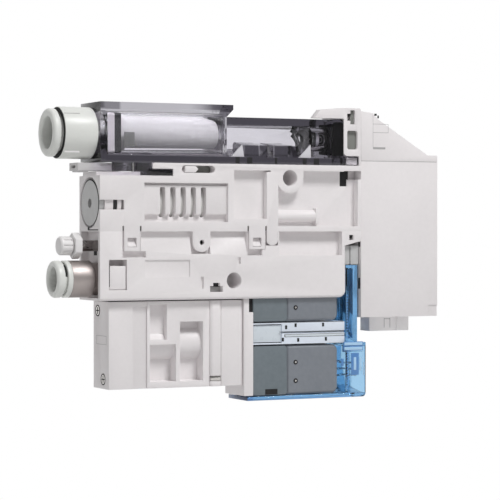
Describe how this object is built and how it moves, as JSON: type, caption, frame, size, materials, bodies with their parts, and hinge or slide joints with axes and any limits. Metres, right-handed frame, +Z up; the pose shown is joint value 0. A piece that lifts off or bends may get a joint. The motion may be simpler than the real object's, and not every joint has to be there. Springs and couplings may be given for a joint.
{
  "type": "vacuum ejector",
  "caption": "Slim vacuum ejector unit with smoked filter case, push-in tube ports, adjusting needle, pilot valves under a blue cover and a digital pressure switch.",
  "frame": {"origin": "on the wall face, midway between the two screw holes", "axes": "+X along the unit to the switch, +Z up, -Y out of the wall to the front face"},
  "size_m": [0.1173, 0.015, 0.0819],
  "materials": {
    "white_plastic": "fine matt moulding",
    "port_plastic": "satin moulding",
    "grey_plastic": "satin moulding",
    "smoked_plastic": "clear smoked moulding",
    "filter_white": "porous, dull",
    "nickel": "bright nickel plate",
    "steel": "satin",
    "brass": "satin",
    "aluminium": "fine turned",
    "rubber": "dull",
    "coil_grey": "smooth moulding",
    "pale_strip": "smooth moulding",
    "blue_plastic": "clear blue moulding",
    "display_dark": "smooth window",
    "key_grey": "soft keys",
    "board_green": "coated"
  },
  "bodies": {
    "unit": {"base_block": "white_plastic", "blue_cover": "blue_plastic", "bracket": "white_plastic", "case_latch": "white_plastic", "circuit_board": "board_green", "clip_pin": "steel", "connector_pins": "brass", "diffuser": "white_plastic", "display_window": "display_dark", "ejector_block": "white_plastic", "ejector_o_ring": "rubber", "ejector_plug": "grey_plastic", "ejector_sleeve": "white_plastic", "end_screws": "steel", "filter_case": "smoked_plastic", "filter_element": "filter_white", "filter_gasket": "rubber", "filter_holder": "white_plastic", "fitting_clip": "white_plastic", "light_strip": "pale_strip", "link_block": "white_plastic", "lower_coil": "coil_grey", "lower_yoke": "coil_grey", "nozzle": "brass", "pilot_frame": "white_plastic", "rib_clip": "white_plastic", "sense_link": "grey_plastic", "silencer": "filter_white", "socket_pins": "brass", "stack_gasket": "rubber", "supply_chuck": "steel", "supply_collar": "port_plastic", "supply_port_body": "nickel", "supply_seal": "rubber", "switch_case": "white_plastic", "switch_connector": "white_plastic", "switch_head": "white_plastic", "upper_coil": "coil_grey", "upper_yoke": "coil_grey", "vacuum_chuck": "steel", "vacuum_port_body": "port_plastic", "vacuum_seal": "rubber", "valve_body": "white_plastic", "valve_end_block": "white_plastic", "valve_seat": "rubber", "yoke_pins": "steel"},
    "vacuum_release": {"vacuum_release": "port_plastic"},
    "supply_release": {"supply_release": "port_plastic"},
    "lock_nut": {"lock_nut": "port_plastic"},
    "lock_lever": {"lock_lever": "white_plastic"},
    "valve_disc": {"valve_disc": "rubber"},
    "supply_spool": {"supply_spool": "aluminium"},
    "release_spool": {"release_spool": "aluminium"},
    "upper_plunger": {"upper_plunger": "aluminium"},
    "lower_plunger": {"lower_plunger": "aluminium"},
    "switch_key_1": {"switch_key_1": "key_grey"},
    "switch_key_2": {"switch_key_2": "key_grey"},
    "switch_key_3": {"switch_key_3": "key_grey"},
    "adjusting_needle": {"needle": "steel", "needle_knob": "port_plastic"}
  },
  "joints": [
    {"name": "vacuum_release_push", "type": "slide", "parent": "unit", "child": "vacuum_release", "axis": [1, 0, 0], "range_m": [0, 0.0009], "stiffness_N_per_m": 900},
    {"name": "supply_release_push", "type": "slide", "parent": "unit", "child": "supply_release", "axis": [1, 0, 0], "range_m": [0, 0.0007], "stiffness_N_per_m": 900},
    {"name": "knob_turn", "type": "hinge", "parent": "unit", "child": "adjusting_needle", "pos_m": [-0.05535, -0.0075, -0.00455], "axis": [-1, 0, 0], "range_deg": [0, 1080]},
    {"name": "lock_nut_turn", "type": "hinge", "parent": "unit", "child": "lock_nut", "pos_m": [-0.05235, -0.0075, -0.00455], "axis": [-1, 0, 0], "range_deg": [0, 90]},
    {"name": "lever_pull", "type": "slide", "parent": "unit", "child": "lock_lever", "axis": [-1, 0, 0], "range_m": [0, 0.002]},
    {"name": "check_disc_lift", "type": "slide", "parent": "unit", "child": "valve_disc", "axis": [1, 0, 0], "range_m": [0, 0.0008]},
    {"name": "supply_spool_shift", "type": "slide", "parent": "unit", "child": "supply_spool", "axis": [-1, 0, 0], "range_m": [0, 0.001], "stiffness_N_per_m": 600},
    {"name": "release_spool_shift", "type": "slide", "parent": "unit", "child": "release_spool", "axis": [1, 0, 0], "range_m": [0, 0.001], "stiffness_N_per_m": 600},
    {"name": "upper_plunger_lift", "type": "slide", "parent": "unit", "child": "upper_plunger", "axis": [1, 0, 0], "range_m": [0, 0.0004], "stiffness_N_per_m": 900},
    {"name": "lower_plunger_lift", "type": "slide", "parent": "unit", "child": "lower_plunger", "axis": [1, 0, 0], "range_m": [0, 0.0004], "stiffness_N_per_m": 900},
    {"name": "key_1_press", "type": "slide", "parent": "unit", "child": "switch_key_1", "axis": [-0.5206, 0, -0.8538], "range_m": [0, 0.0003], "stiffness_N_per_m": 400},
    {"name": "key_2_press", "type": "slide", "parent": "unit", "child": "switch_key_2", "axis": [-0.5206, 0, -0.8538], "range_m": [0, 0.0003], "stiffness_N_per_m": 400},
    {"name": "key_3_press", "type": "slide", "parent": "unit", "child": "switch_key_3", "axis": [-0.5206, 0, -0.8538], "range_m": [0, 0.0003], "stiffness_N_per_m": 400}
  ]
}
